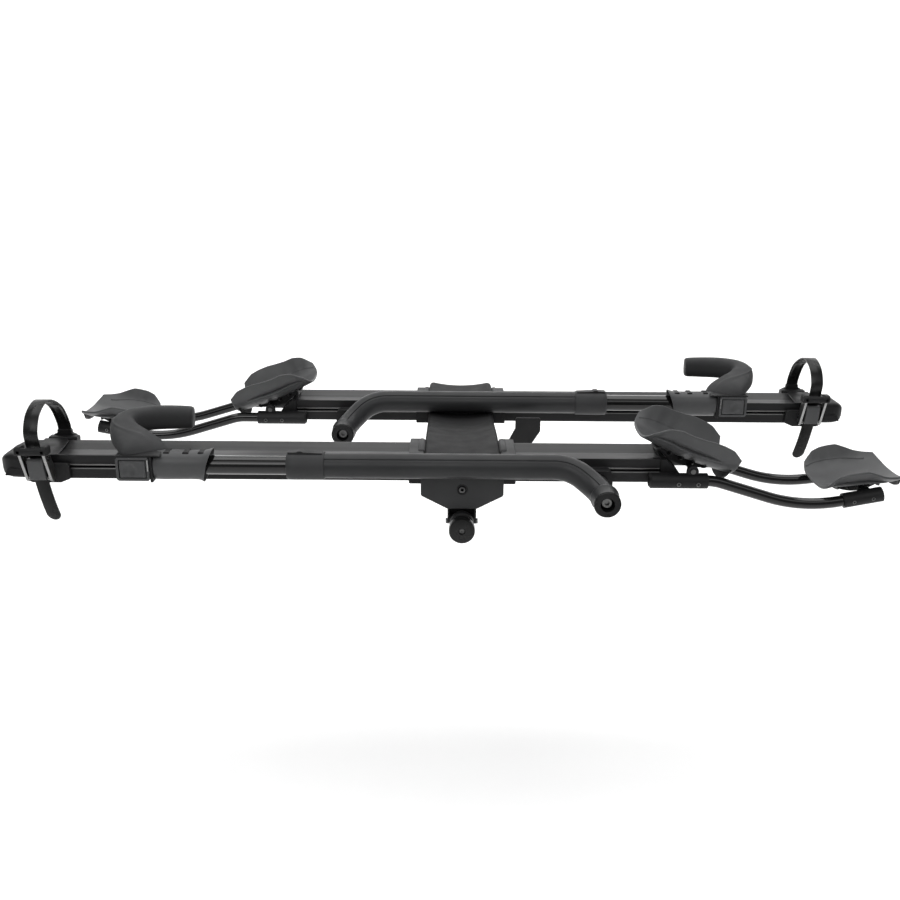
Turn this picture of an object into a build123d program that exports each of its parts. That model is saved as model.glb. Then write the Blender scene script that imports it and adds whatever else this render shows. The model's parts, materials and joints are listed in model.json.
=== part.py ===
from build123d import *
import math
import os

# A two-bicycle platform rack for a 2 inch hitch receiver.
# Row frame: origin at the hitch pin hole, +X to the right seen from behind the car,
# +Y towards the car, +Z up. All lengths in millimetres.

os.makedirs("parts", exist_ok=True)

# ---------------------------------------------------------------- driving dimensions
SHANK = 50.8            # square hitch shank, outside
SHANK_WALL = 6.0
SHANK_FRONT = 60.0      # shank end inside the receiver
SHANK_BACK = -165.0     # shank end under the pivot
PIN_HOLE_R = 8.1        # hole for a 5/8 inch hitch pin

PIVOT_Y, PIVOT_Z = -205.0, 34.0     # tilt axis of the beam
PIVOT_R = 8.0
PLATE_T = 6.0                       # pivot side plates

OUTER_Y, INNER_Y = -670.0, -330.0   # tray centre lines
TRAY_TOP, TRAY_BOT = 130.0, 91.0
TRAY_HALF = 42.0
RAIL_LEFT, RAIL_RIGHT = -700.0, 318.0

BEAM_TOP, BEAM_SIDE, BEAM_BOT = 87.3, 73.0, 54.5   # beam section heights
BEAM_HALF, BEAM_FOOT = 62.0, 22.0                  # beam section half widths
BEAM_OUT, BEAM_IN = -712.0, -262.0                 # beam ends along Y
SADDLE_HALF = 86.0

ARM_Y = -70.0           # arm line, in front of its tray's centre line
ARM_R, ARM_WALL = 20.0, 2.5
ARM_PIVOT_X, ARM_PIVOT_Z = 217.0, 96.0
ARM_END_Y = -154.0      # front face of the arm's lower end
ARM_MOUTH = -262.0      # open end of the arm tube
BOLT_R = 6.0
HOOK_R = 15.0           # telescoping hook tube, outside

ROD_Y, ROD_R = 55.5, 9.0            # cradle rods, either side of the tray centre line
ROD_Z = 99.5
STRAP_X = -672.0
STRAP_W, STRAP_T = 22.0, 2.6
STRAP_STATIONS = 60

RUN = 0.05              # radial clearance of a running fit
GAP = 0.4               # gap between parts that slide past each other

CHEEK_IN = SHANK / 2 + PLATE_T + 0.6        # inside of the beam's cheeks at the tilt joint
CHEEK_T = 8.0
SCREW_Z = 79.0                              # end plate screw
HUMP_Y = -380.0                             # joint between the two cover mouldings
PLATE_FOOT = 46.0                           # lower edge of the end plate
ROD_LOCK_Z = 78.5                           # lock rod inside the beam
LEVER_Y, LEVER_Z = -702.0, 18.0             # foot lever's pin
GRIP_R = 21.0
PEDAL_Y, PEDAL_Z, PEDAL_R = -470.0, 66.0, 6.0

CHOCK_IN = (366.0, 116.0)                   # inner chock's axle, (x, z)
AXLE_R = 4.0
DIP_X, DIP_Z = 548.0, 54.5                  # lowest bend of the cradle rods
TIP_X, TIP_Z = 672.0, 79.5                  # far end of the cradle rods
ROD_SLOPE = math.degrees(math.atan2(TIP_Z - DIP_Z, TIP_X - DIP_X))
CLAMP_X, CLAMP_Z = 641.0, 73.25             # middle of the rod sleeves
AXLE_RISE = 4.5                             # outer axle above the rods' centre line

SLEEVE_R = 8.0                              # outside of the arm's bushes
HOUSING_L, HOUSING_R = -536.0, -392.0       # hook housing along X
BUTTON_X = -510.0
BUCKLE_PIN = (-66.0, 128.0)                 # buckle lever's pin, (y, z)


# ---------------------------------------------------------------- helpers
def box(x0, x1, y0, y1, z0, z1):
    """Axis-aligned box from its lowest to its highest corner."""
    size = (x1 - x0, y1 - y0, z1 - z0)
    return Pos((x0 + x1) / 2, (y0 + y1) / 2, (z0 + z1) / 2) * Box(*size)


def rod_x(x0, x1, y, z, r):
    return Pos((x0 + x1) / 2, y, z) * Rot(0, 90, 0) * Cylinder(r, x1 - x0)


def rod_y(x, y0, y1, z, r):
    return Pos(x, (y0 + y1) / 2, z) * Rot(90, 0, 0) * Cylinder(r, y1 - y0)


def prism_x(points, x0, x1):
    """Prism along X from a closed outline of (y, z) points."""
    face = make_face(Polyline(*[(x0, y, z) for y, z in points], close=True))
    return extrude(face, amount=x1 - x0, dir=(1, 0, 0))


def prism_y(points, y0, y1):
    """Prism along Y from a closed outline of (x, z) points."""
    face = make_face(Polyline(*[(x, y0, z) for x, z in points], close=True))
    return extrude(face, amount=y1 - y0, dir=(0, 1, 0))


def soften(part, edges, *radii):
    """Fillet with the largest of the radii that the solid accepts."""
    for r in radii:
        try:
            out = fillet(edges, r)
            if out.is_valid:
                return out
        except Exception:
            pass
    return part


def tube_along(path, radius):
    """Round bar swept along a path."""
    start = path @ 0
    plane = Plane(origin=start, z_dir=path % 0)
    return sweep(plane * Circle(radius), path=path)


def save(name, part):
    part = part if isinstance(part, (Solid, Part, Compound)) else Part(part)
    solids = part.solids()
    whole = solids[0] if len(solids) == 1 else Compound(children=list(solids))
    whole.label = name
    export_step(whole, f"parts/{name}.step")


# ---------------------------------------------------------------- hitch end
def hitch_shank():
    half = SHANK / 2
    outer = box(-half, half, SHANK_BACK, SHANK_FRONT, -half, half)
    outer = fillet(outer.edges().filter_by(Axis.Y), 5)
    bore = half - SHANK_WALL
    inner = box(-bore, bore, SHANK_BACK - 1, SHANK_FRONT + 1, -bore, bore)
    inner = fillet(inner.edges().filter_by(Axis.Y), 2)
    return outer - inner - rod_x(-half - 1, half + 1, 0, 0, PIN_HOLE_R)


def pivot_bracket():
    """Two plates welded to the shank's sides that carry the tilt bolt."""
    inside = SHANK / 2
    outline = [
        (-100, -20),
        (-60, -20),
        (-60, 20),
        (-120, 24),
        (PIVOT_Y + 22, PIVOT_Z + 18),
        (PIVOT_Y + 8, PIVOT_Z + 24),
        (PIVOT_Y - 8, PIVOT_Z + 24),
        (PIVOT_Y - 22, PIVOT_Z + 10),
        (PIVOT_Y - 22, PIVOT_Z - 12),
        (PIVOT_Y + 2, PIVOT_Z - 34),
        (-150, -22),
    ]
    plate = prism_x(outline, inside, inside + PLATE_T)
    plate = plate + prism_x(outline, -inside - PLATE_T, -inside)
    web = box(-inside, inside, -185, -166.5, -20, 8)
    web = web - rod_y(0, -190, -160, 0, 14)
    part = plate + web
    return part - rod_x(-60, 60, PIVOT_Y, PIVOT_Z, PIVOT_R + 0.02)


def tilt_bolt():
    reach = CHEEK_IN + CHEEK_T + 1.2
    bolt = rod_x(-reach, reach, PIVOT_Y, PIVOT_Z, PIVOT_R)
    head = Pos(reach, PIVOT_Y, PIVOT_Z) * Rot(0, 90, 0) * extrude(RegularPolygon(13.5, 6), 9)
    nut = Pos(-reach - 9, PIVOT_Y, PIVOT_Z) * Rot(0, 90, 0) * extrude(RegularPolygon(13.5, 6), 9)
    return bolt + head + nut


# ---------------------------------------------------------------- beam
def beam_outline(inset):
    top = BEAM_TOP - inset
    side = BEAM_SIDE + inset * 0.41
    foot = BEAM_BOT + inset
    half = BEAM_HALF - inset
    low = BEAM_FOOT - inset * 0.41
    return [(-half, top), (half, top), (half, side), (low, foot), (-low, foot), (-half, side)]


def beam():
    """Hollow beam that carries the trays, with the cheeks of the tilt joint."""
    part = prism_y(beam_outline(0), BEAM_OUT, BEAM_IN)
    part = part - prism_y(beam_outline(4), BEAM_OUT - 1, BEAM_IN + 1)
    outline = [
        (-330, 54),
        (-330, 70),
        (-262, 87),
        (-235, 78),
        (PIVOT_Y + 10, PIVOT_Z + 22),
        (PIVOT_Y + 22, PIVOT_Z + 8),
        (PIVOT_Y + 22, PIVOT_Z - 10),
        (PIVOT_Y + 8, PIVOT_Z - 22),
        (PIVOT_Y - 12, PIVOT_Z - 20),
        (-250, 30),
    ]
    for side in (1, -1):
        x0, x1 = sorted((side * CHEEK_IN, side * (CHEEK_IN + CHEEK_T)))
        part = part + prism_x(outline, x0, x1)
    cap = box(-BEAM_HALF + 2, BEAM_HALF - 2, BEAM_IN - 5, BEAM_IN - 0.5, BEAM_SIDE + 1, BEAM_TOP - 2)
    part = part + cap
    part = part - rod_x(-60, 60, PIVOT_Y, PIVOT_Z, PIVOT_R + RUN)
    # ears of the clevis for the foot lever
    for side in (1, -1):
        x0, x1 = sorted((side * 20.6, side * 23.4))
        ear = box(x0, x1, -711, -690, LEVER_Z - 4, 57)
        ear = fillet(ear.edges().filter_by(Axis.X).group_by(Axis.Z)[0], 8)
        part = part + ear
    part = part - rod_x(-30, 30, LEVER_Y, LEVER_Z, 3.0)
    # bar across the open end that takes the end plate's screw
    bar = box(-59.5, 59.5, -711, -705, 76, 85)
    part = part + (bar - rod_y(0, -715, -700, SCREW_Z, 4.0))
    # way through for the lock rod, and bearings for the pedal's shaft
    part = part - rod_y(0, BEAM_IN - 8, BEAM_IN + 8, ROD_LOCK_Z, 4.4)
    return part - rod_x(-70, 70, PEDAL_Y, PEDAL_Z, PEDAL_R + RUN)


def shroud_profile(drop):
    """Side view of the moulded cover as (y, z) points, lowered by drop."""
    top = [
        (-716, 137),
        (-625, 137),
        (-560, 131),
        (-440, 116),
        (-380, 115.5),
        (-377, 146),
        (-270, 146),
        (-236, 128),
        (-222, 96),
    ]
    return [(y, z - drop) for y, z in top]


def beam_shroud():
    """Trough-shaped cover over the beam, open below."""
    floor = BEAM_TOP + 0.1
    outside = shroud_profile(0)
    part = prism_x(outside + [(-222, floor), (-716, floor)], -62, 62)
    inside = [(y + 3 * (y < -700) - 3 * (y > -230), z) for y, z in shroud_profile(9.5)]
    part = part - prism_x(inside + [(-225, floor - 5), (-713, floor - 5)], -59, 59)
    trough = [(-730, 160)] + [(y - 20 * (y < -700), z) for y, z in shroud_profile(4.5)] + [(-200, 160)]
    part = part - prism_x(trough, -51, 51)
    part = soften(part, part.edges().filter_by(Axis.Y).group_by(Axis.Z)[-1], 3, 2)
    # the trays and their saddles pass through the cover
    for y in (OUTER_Y, INNER_Y):
        part = part - box(-70, 70, y - 46.4, y + 46.4, 80, 130.4)
    return part


def shroud_pieces():
    """The cover in two mouldings that butt together at the foot of its hump."""
    whole = beam_shroud()
    rear = whole - box(-70, 70, HUMP_Y, -200, 80, 160)
    hump = whole - box(-70, 70, -730, HUMP_Y, 80, 160)
    return rear, hump


def end_plate():
    outline = [
        (-66.8, 134),
        (66.8, 134),
        (66.8, 68.5),
        (24.3, PLATE_FOOT),
        (-24.3, PLATE_FOOT),
        (-66.8, 68.5),
    ]
    plate = prism_y(outline, -719.0, -716.5)
    plate = fillet(plate.edges().filter_by(Axis.Y), 4)
    rim = prism_y([(x * 0.985, z + (1 if z < 100 else -1)) for x, z in outline], -716.5, -712.4)
    inner = prism_y([(x * 0.94, z + (4 if z < 100 else -4)) for x, z in outline], -716.5, -712.4)
    plate = plate + (rim - inner)
    # the rim is notched where the saddle and the cover stand behind it
    plate = plate - box(-86.5, 86.5, -716.4, -712, 86.6, 139)
    boss = rod_y(0, -716.5, -712.4, SCREW_Z, 7)
    hole = rod_y(0, -725, -700, SCREW_Z, 4.2)
    return plate + boss - hole - rod_y(0, -720, -717.4, SCREW_Z, 8.2)


def end_plate_screw():
    shank = rod_y(0, -717.4, -706, SCREW_Z, 3.9)
    head = rod_y(0, -719.4, -717.4, SCREW_Z, 7.6)
    head = fillet(head.edges().group_by(Axis.Y)[0], 1)
    socket = Pos(0, -718.2, SCREW_Z) * Rot(90, 0, 0) * extrude(RegularPolygon(3, 6), 4)
    return shank + head - socket


# ---------------------------------------------------------------- tilt release
def rear_lever():
    """Steel core of the foot lever, with its pivot eye and its tail."""
    core = rod_y(0, -744, LEVER_Y, LEVER_Z, 9)
    eye = rod_x(-20.2, 20.2, LEVER_Y, LEVER_Z, 11)
    tail = box(-5, 5, LEVER_Y, LEVER_Y + 26, LEVER_Z - 6, LEVER_Z + 6)
    return core + eye + tail - rod_x(-30, 30, LEVER_Y, LEVER_Z, 3.0 + RUN)


def rear_grip():
    grip = rod_y(0, -748, -729, LEVER_Z, GRIP_R)
    grip = grip + rod_y(0, -730, -726.5, LEVER_Z, GRIP_R - 1.9)
    grip = fillet(grip.edges().group_by(Axis.Y)[0], 2.0)
    grip = grip - rod_y(0, -744, -720, LEVER_Z, 9)
    return grip - rod_y(0, -750, -740, LEVER_Z, 5.4)


def rear_grip_screw():
    screw = rod_y(0, -746.4, -744, LEVER_Z, 5.2)
    socket = Pos(0, -744.8, LEVER_Z) * Rot(90, 0, 0) * extrude(RegularPolygon(3, 6), 4)
    return screw - socket


def lever_pin():
    pin = rod_x(-23.4, 23.4, LEVER_Y, LEVER_Z, 3.0)
    ends = rod_x(-26.4, -23.4, LEVER_Y, LEVER_Z, 4.4) + rod_x(23.4, 26.4, LEVER_Y, LEVER_Z, 4.4)
    return pin + ends


def release_pedal():
    """Bent plate pedal beside the beam with its cross shaft and crank."""
    outline = [
        (68, 58),
        (84, 58),
        (104, 62),
        (131, 78),
        (146, 102),
        (146, 127),
        (100, 127),
        (100, 106),
        (89, 84),
        (68, 76),
    ]
    plate = prism_y(outline, PEDAL_Y - 3, PEDAL_Y + 3)
    plate = fillet(plate.edges().filter_by(Axis.Y), 4)
    hub = rod_x(64.5, 82, PEDAL_Y, PEDAL_Z, 10)
    shaft = rod_x(-57, 66, PEDAL_Y, PEDAL_Z, PEDAL_R)
    crank = rod_x(-7, 7, PEDAL_Y, PEDAL_Z, 7.2)
    return plate + hub + shaft + crank


def lock_rod():
    """Pull rod inside the beam; its nose is the lock of the tilt joint."""
    nose = rod_y(0, -490, -250, ROD_LOCK_Z, 4)
    return nose + box(-12, 12, -500, -486, 62, 82.6)


# ---------------------------------------------------------------- tray pieces
# Each is drawn for the outer tray about Y = 0, with its strap end at -X.
def half_section(side):
    """Outline of one long side of the tray rail, top to bottom."""
    points = [
        (40.0, TRAY_TOP),
        (40.0, 116.5),
        (42.0, 115.0),
        (42.0, 113.5),
        (34.0, 113.5),
        (34.0, 109.5),
        (40.5, 109.5),
        (42.0, 107.5),
        (42.0, 92.5),
        (40.5, TRAY_BOT),
    ]
    return [(side * y, z) for y, z in points]


def tray_rail():
    front = half_section(-1)
    back = half_section(1)
    dish = [(35, TRAY_TOP), (0, TRAY_TOP - 3.5), (-35, TRAY_TOP)]
    part = prism_x(front + back[::-1] + dish, RAIL_LEFT, RAIL_RIGHT)
    for side in (1, -1):
        y0, y1 = sorted((side * 2, side * 31))
        part = part - box(RAIL_LEFT - 1, RAIL_RIGHT + 1, y0, y1, 94, 123.5)
    return part


def tray_saddle():
    """Moulded collar that ties a tray down to the beam."""
    part = box(-SADDLE_HALF, SADDLE_HALF, -45.6, 45.6, BEAM_TOP + 0.1, 136.5)
    part = soften(part, part.edges().filter_by(Axis.X), 5, 3)
    section = [(-42, 90.9), (42, 90.9), (42, 130.2), (-42, 130.2)]
    part = part - prism_x(section, -SADDLE_HALF - 1, SADDLE_HALF + 1)
    # room for the cover between the two lips
    return part - box(-62.6, 62.6, -60, 60, 130.2, 150)


def tray_nose():
    """Moulded plug that closes the strap end of the rail, with its top skin."""
    nose = box(-748, RAIL_LEFT - 0.1, -43.5, 43.5, 90, 131.6)
    nose = soften(nose, nose.edges().group_by(Axis.X)[0], 18, 14, 10)
    skin = prism_x([(-40, 130.15), (40, 130.15), (40, 131.7), (-40, 131.7)], RAIL_LEFT - 6, -656)
    skin = skin - Pos(-656, 0, 131) * Rot(0, 0, -12) * Box(20, 120, 6)
    return nose + skin + plug_tongues(-701, -672)


def plug_tongues(x0, x1):
    """Tongues that fill the ends of the rail's two chambers."""
    return box(x0, x1, 3, 30, 95, 122.5) + box(x0, x1, -30, -3, 95, 122.5)


def cradle_yoke():
    """Cast end piece that plugs the rail and clamps the two cradle rods."""
    start = RAIL_RIGHT + 0.1
    outline = [(start, 90), (350, 90), (350, 106), (326, 130.4), (start, 130.4)]
    cap = prism_y(outline, -43.5, 43.5)
    part = soften(cap, cap.edges().filter_by(Axis.Y).group_by(Axis.X)[-1], 5, 3)
    part = part + plug_tongues(RAIL_RIGHT - 28, RAIL_RIGHT + 2)
    x, z = CHOCK_IN
    for side in (1, -1):
        barrel = rod_x(297, 390, side * ROD_Y, ROD_Z, 12.5)
        part = part + chamfer(barrel.edges().group_by(Axis.X)[0], 3)
        y0, y1 = sorted((side * 40, side * (ROD_Y - 4)))
        part = part + box(322, 346, y0, y1, 92, 108)
        y0, y1 = sorted((side * (ROD_Y - 4), side * (ROD_Y + 4)))
        part = part + box(x - 9, x + 9, y0, y1, 104, z) + rod_y(x, y0, y1, z, 9)
    for side in (1, -1):
        part = part - rod_x(290, 400, side * ROD_Y, ROD_Z, ROD_R + 0.02)
    return part - rod_y(x, -70, 70, z, AXLE_R)


def rod_path(shift, y):
    """Centre line of a cradle rod: level, down a bend, then a long upward arc."""
    points = [
        (300, y, ROD_Z),
        (402 + shift, y, ROD_Z),
        (DIP_X + shift, y, DIP_Z),
        (TIP_X + shift, y, TIP_Z),
    ]
    return FilletPolyline(*points, radius=[80, 240])


def cradle_rods(shift):
    rods = [tube_along(rod_path(shift, side * ROD_Y), ROD_R).solids()[0] for side in (1, -1)]
    return Compound(children=rods)


def outer_axle(shift):
    slope = math.radians(ROD_SLOPE)
    x = CLAMP_X + shift + 8 * math.cos(slope) - AXLE_RISE * math.sin(slope)
    return x, CLAMP_Z + 8 * math.sin(slope) + AXLE_RISE * math.cos(slope)


def rod_clamps(shift):
    """Sleeves on the rod ends that carry the outer chock's axle."""
    solids = []
    for side in (1, -1):
        frame = Pos(CLAMP_X + shift, side * ROD_Y, CLAMP_Z) * Rot(0, -ROD_SLOPE, 0)
        sleeve = frame * Rot(0, 90, 0) * Cylinder(12, 62)
        ear = frame * Pos(8, -side * 14, AXLE_RISE / 2) * Box(18, 7, 12)
        ear = ear + frame * Pos(8, -side * 14, AXLE_RISE) * Rot(90, 0, 0) * Cylinder(8, 7)
        solid = sleeve + ear - frame * Rot(0, 90, 0) * Cylinder(ROD_R + 0.02, 80)
        solid = solid - frame * Pos(8, -side * 16, AXLE_RISE) * Rot(90, 0, 0) * Cylinder(AXLE_R, 12)
        solids.append(solid.solids()[0])
    return Compound(children=solids)


def scoop(length, half_width, heights, bow):
    """Curved wheel scoop: a smooth skin over a grid, thickened downwards.

    heights gives the wings' height above the floor at even stations."""
    across = 9
    rows = []
    for i, height in enumerate(heights):
        s = i / (len(heights) - 1)
        row = []
        for j in range(across):
            v = 2 * j / (across - 1) - 1
            lift = height * (0.35 * v * v + 0.65 * v ** 4)
            width = half_width * (0.86 + 0.14 * math.sin(math.pi * s))
            sag = -bow * math.sin(math.pi * s)
            row.append(Vector(s * length, v * width, lift + sag))
        rows.append(row)
    face = Face.make_surface_from_array_of_points(rows)
    return Solid.thicken(face, 4.0) if face.normal_at((0.5, 0.5)).Z < 0 else Solid.thicken(face, -4.0)


def lugs(x, z, rise):
    """Pair of lugs under a scoop around its axle."""
    part = None
    for side in (1, -1):
        y0, y1 = sorted((side * 18, side * 26))
        lug = box(x - 7.5, x + 7.5, y0, y1, z, z + rise) + rod_y(x, y0, y1, z, 7.5)
        part = lug if part is None else part + lug
    return part


def inner_chock():
    heights = [20, 33, 43, 50, 54, 50, 30]
    skin = Pos(286, 0, 166) * Rot(0, 23, 0) * scoop(158, 74, heights, 6)
    x, z = CHOCK_IN
    return skin + lugs(x, z, 8) - rod_y(x, -60, 60, z, AXLE_R + RUN)


def outer_chock(shift):
    heights = [8, 22, 29, 34, 36, 28, 14]
    skin = Pos(571 + shift, 0, 80) * Rot(0, -8.5, 0) * scoop(138, 72, heights, 4)
    x, z = outer_axle(shift)
    return skin + lugs(x, z, 7) - rod_y(x, -60, 60, z, AXLE_R + RUN)


def chock_axles(shift):
    x0, z0 = CHOCK_IN
    x1, z1 = outer_axle(shift)
    inner = rod_y(x0, -ROD_Y - 6, ROD_Y + 6, z0, AXLE_R)
    outer = rod_y(x1, -45.5, 45.5, z1, AXLE_R)
    return Compound(children=[inner.solids()[0], outer.solids()[0]])


# ---------------------------------------------------------------- arm
def arm_path(rise):
    z = 126.0 + rise
    points = [
        (ARM_MOUTH, ARM_Y, z),
        (170, ARM_Y, z),
        (ARM_PIVOT_X, ARM_Y - 38, ARM_PIVOT_Z),
        (ARM_PIVOT_X, ARM_END_Y, ARM_PIVOT_Z),
    ]
    return FilletPolyline(*points, radius=[66, 56])


def arm_tube(rise):
    path = arm_path(rise)
    part = tube_along(path, ARM_R) - tube_along(path, ARM_R - ARM_WALL)
    boss = rod_y(ARM_PIVOT_X, ARM_END_Y + 14, ARM_Y + 7, ARM_PIVOT_Z, 14)
    part = part + boss
    return part - rod_y(ARM_PIVOT_X, ARM_END_Y - 5, ARM_Y + 10, ARM_PIVOT_Z, SLEEVE_R)


def arm_bushes():
    y0, y1 = ARM_END_Y + 14, ARM_Y + 7
    rings = []
    for a, b in ((y0, y0 + 16), (y1 - 16, y1)):
        ring = rod_y(ARM_PIVOT_X, a, b, ARM_PIVOT_Z, SLEEVE_R)
        ring = ring - rod_y(ARM_PIVOT_X, a - 1, b + 1, ARM_PIVOT_Z, BOLT_R + RUN)
        rings.append(ring.solids()[0])
    return Compound(children=rings)


def arm_bolt():
    y1 = -TRAY_HALF - 6.0
    shank = rod_y(ARM_PIVOT_X, ARM_END_Y + 13.6, y1, ARM_PIVOT_Z, BOLT_R)
    head = rod_y(ARM_PIVOT_X, ARM_END_Y + 6, ARM_END_Y + 13.6, ARM_PIVOT_Z, 9)
    head = fillet(head.edges().group_by(Axis.Y)[0], 2)
    socket = Pos(ARM_PIVOT_X, ARM_END_Y + 10, ARM_PIVOT_Z) * Rot(90, 0, 0) * extrude(RegularPolygon(4, 6), 8)
    return shank + head - socket


def arm_plug():
    """Round end plug with a recess over the bolt head and a drain notch."""
    part = rod_y(ARM_PIVOT_X, ARM_END_Y - 3, ARM_END_Y - 0.05, ARM_PIVOT_Z, ARM_R)
    part = fillet(part.edges().group_by(Axis.Y)[0], 1.5)
    part = part + rod_y(ARM_PIVOT_X, ARM_END_Y - 1, ARM_END_Y + 12, ARM_PIVOT_Z, ARM_R - ARM_WALL)
    part = part - rod_y(ARM_PIVOT_X, ARM_END_Y - 5, ARM_END_Y + 13, ARM_PIVOT_Z, 11)
    z0 = ARM_PIVOT_Z - ARM_R - 1
    return part - box(ARM_PIVOT_X - 2.5, ARM_PIVOT_X + 2.5, ARM_END_Y - 5, ARM_END_Y - 0.05, z0, z0 + 6)


def arm_bracket():
    """Block in the rail's front slot that the arm's bolt screws into."""
    x, z = ARM_PIVOT_X, ARM_PIVOT_Z
    front = -TRAY_HALF - 19.5
    part = box(x - 22, x + 22, front, -TRAY_HALF - 0.1, 78, 116)
    part = soften(part, part.edges().filter_by(Axis.Y), 8, 5)
    key = box(x - 20, x + 20, -TRAY_HALF - 1, -35, 109.7, 113.3)
    lip = box(x - 20, x + 20, -TRAY_HALF - 1, -20, 86, 90.8)
    part = part + key + lip
    return part - rod_y(x, front - 1, -TRAY_HALF - 6, z, BOLT_R + 0.02)


def arm_collar(rise):
    z = 126.0 + rise
    part = rod_x(-275, -216, ARM_Y, z, 22.3)
    part = chamfer(part.edges().group_by(Axis.X)[0], 2)
    part = part - rod_x(ARM_MOUTH - 0.05, -210, ARM_Y, z, ARM_R + 0.02)
    return part - rod_x(-280, -250, ARM_Y, z, HOOK_R + RUN)


# ---------------------------------------------------------------- hook
def hook_tube(rise):
    z = 126.0 + rise
    part = rod_x(-520, -100, ARM_Y, z, HOOK_R) - rod_x(-515, -90, ARM_Y, z, HOOK_R - 2)
    guide = rod_x(-112, -100, ARM_Y, z, ARM_R - ARM_WALL - 0.1) - rod_x(-120, -90, ARM_Y, z, HOOK_R - 1)
    return part + guide


def hook_housing(rise):
    """Moulded body on the end of the hook tube, with the button's pocket."""
    z = 126.0 + rise
    part = rod_x(HOUSING_L, HOUSING_R, ARM_Y, z, 22.5)
    flare = Pos(HOUSING_R - 6, ARM_Y, z) * Rot(0, 90, 0) * Cone(22.5, 25.5, 12)
    part = part + flare
    part = part + box(HOUSING_L, HOUSING_L + 50, ARM_Y - 25, ARM_Y, z - 18.5, z + 18.5)
    part = part + box(HOUSING_L + 2, HOUSING_L + 76, ARM_Y - 16, ARM_Y + 20, z, z + 23)
    part = part - rod_x(-520.05, HOUSING_R + 10, ARM_Y, z, HOOK_R + 0.02)
    part = part - Pos(HOUSING_R - 5, ARM_Y, z) * Rot(0, 90, 0) * Cone(HOOK_R + 0.02, 23, 14)
    pocket = box(BUTTON_X - 21.5, BUTTON_X + 21.5, ARM_Y - 30, ARM_Y - 16.5, z - 12.5, z + 10.5)
    return part - pocket


def hook_button(rise):
    z = 126.0 + rise
    part = box(BUTTON_X - 21, BUTTON_X + 21, ARM_Y - 27, ARM_Y - 21.5, z - 12, z + 10)
    part = soften(part, part.edges().filter_by(Axis.Y), 3)
    dent = Pos(BUTTON_X - 6, ARM_Y - 44, z - 1) * Sphere(18)
    return part - dent


def hook_pad(rise):
    """Rubber-covered hook that crosses the tray and points back along the arm."""
    z = 126.0 + rise
    path = Spline(
        (-500, -64, z + 8),
        (-528, -46, z + 26),
        (-547, -8, z + 39),
        (-531, 26, z + 44),
        (-488, 39, z + 45),
        (-446, 41, z + 44),
        tangents=((-0.5, 0.35, 0.8), (1, 0, -0.05)),
    )
    plane = Plane(origin=path @ 0, z_dir=path % 0, x_dir=(1, 0, 0.4))
    part = sweep(plane * Ellipse(19, 15), path=path, is_frenet=False)
    part = part - hook_housing(rise) - rod_x(-520.05, HOUSING_R, ARM_Y, z, HOOK_R + 1)
    solids = sorted(part.solids(), key=lambda s: -s.volume)
    return solids[0]


# ---------------------------------------------------------------- wheel strap
def strap_carriage():
    """Carriage under the rail that carries the buckle in front and the anchor behind."""
    x0, x1 = STRAP_X - 27, STRAP_X + 44
    near = TRAY_HALF + GAP
    outline = [
        (-50, 120),
        (-50, 90),
        (-46, 86),
        (46, 86),
        (64, 124),
        (64, 136),
        (near, 136),
        (near, TRAY_BOT - GAP),
        (-near, TRAY_BOT - GAP),
        (-near, 120),
    ]
    part = prism_x(outline, x0, x1)
    for side in (1, -1):
        y0, y1 = sorted((side * (near + 1), side * 35))
        part = part + box(x0, x1, y0, y1, 109.5 + GAP, 113.5 - GAP)
    return part


def strap_buckle():
    """Buckle frame: base plate, two side plates, top bar and the lever's pin."""
    y, z = BUCKLE_PIN
    base = box(STRAP_X - 21, STRAP_X + 21, -52, -50.05, 96, 119)
    part = base + rod_x(STRAP_X - 23, STRAP_X + 23, y, z, 2.5)
    outline = [(-50.05, 96), (-57, 92), (-63, 96), (-81, 142), (-81, 154), (-70, 154), (-50.05, 119)]
    for side in (1, -1):
        x0, x1 = sorted((STRAP_X + side * 18, STRAP_X + side * 20.5))
        part = part + prism_x(outline, x0, x1)
    part = part + rod_x(STRAP_X - 24.5, STRAP_X + 24.5, -76, 148, 5.5)
    return part


def buckle_lever():
    y, z = BUCKLE_PIN
    part = rod_x(STRAP_X - 17.5, STRAP_X + 17.5, y, z, 5)
    flap = [(y - 5.5, z), (y + 4.5, z - 1), (y + 5.5, z - 28), (y - 2, z - 31)]
    part = part + prism_x(flap, STRAP_X - 13.5, STRAP_X + 13.5)
    return part - rod_x(STRAP_X - 30, STRAP_X + 30, y, z, 2.5 + RUN)


def wheel_strap():
    """Strap anchored behind the tray, over the wheel space and down through the buckle."""
    points = [
        (58, 136.05),
        (54, 158),
        (30, 192),
        (-16, 214),
        (-54, 204),
        (-72, 180),
        (-70, 158),
        (-61, 134),
        (-56.5, 112),
        (-56, 92),
        (-57, 70),
        (-57, 47),
        (-55, 25),
    ]
    start = STRAP_X - STRAP_W / 2
    line = Spline(*[(start, y, z) for y, z in points], tangents=((0, 0, 1), (0, 0.1, -1)))
    stations = [i / STRAP_STATIONS for i in range(STRAP_STATIONS + 1)]
    sides = []
    for shift in (STRAP_T / 2, -STRAP_T / 2):
        offsets = [line @ t + (line % t).cross(Vector(1, 0, 0)) * shift for t in stations]
        sides.append(Spline(*offsets))
    outer, inner = sides
    closing = [Line(outer @ 0, inner @ 0), Line(outer @ 1, inner @ 1)]
    return extrude(make_face([outer, inner, *closing]), amount=STRAP_W, dir=(1, 0, 0))


# ---------------------------------------------------------------- write the pieces
TRAYS = {"outer": (OUTER_Y, False, 0.0, 0.0), "inner": (INNER_Y, True, 11.0, 27.0)}


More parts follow.
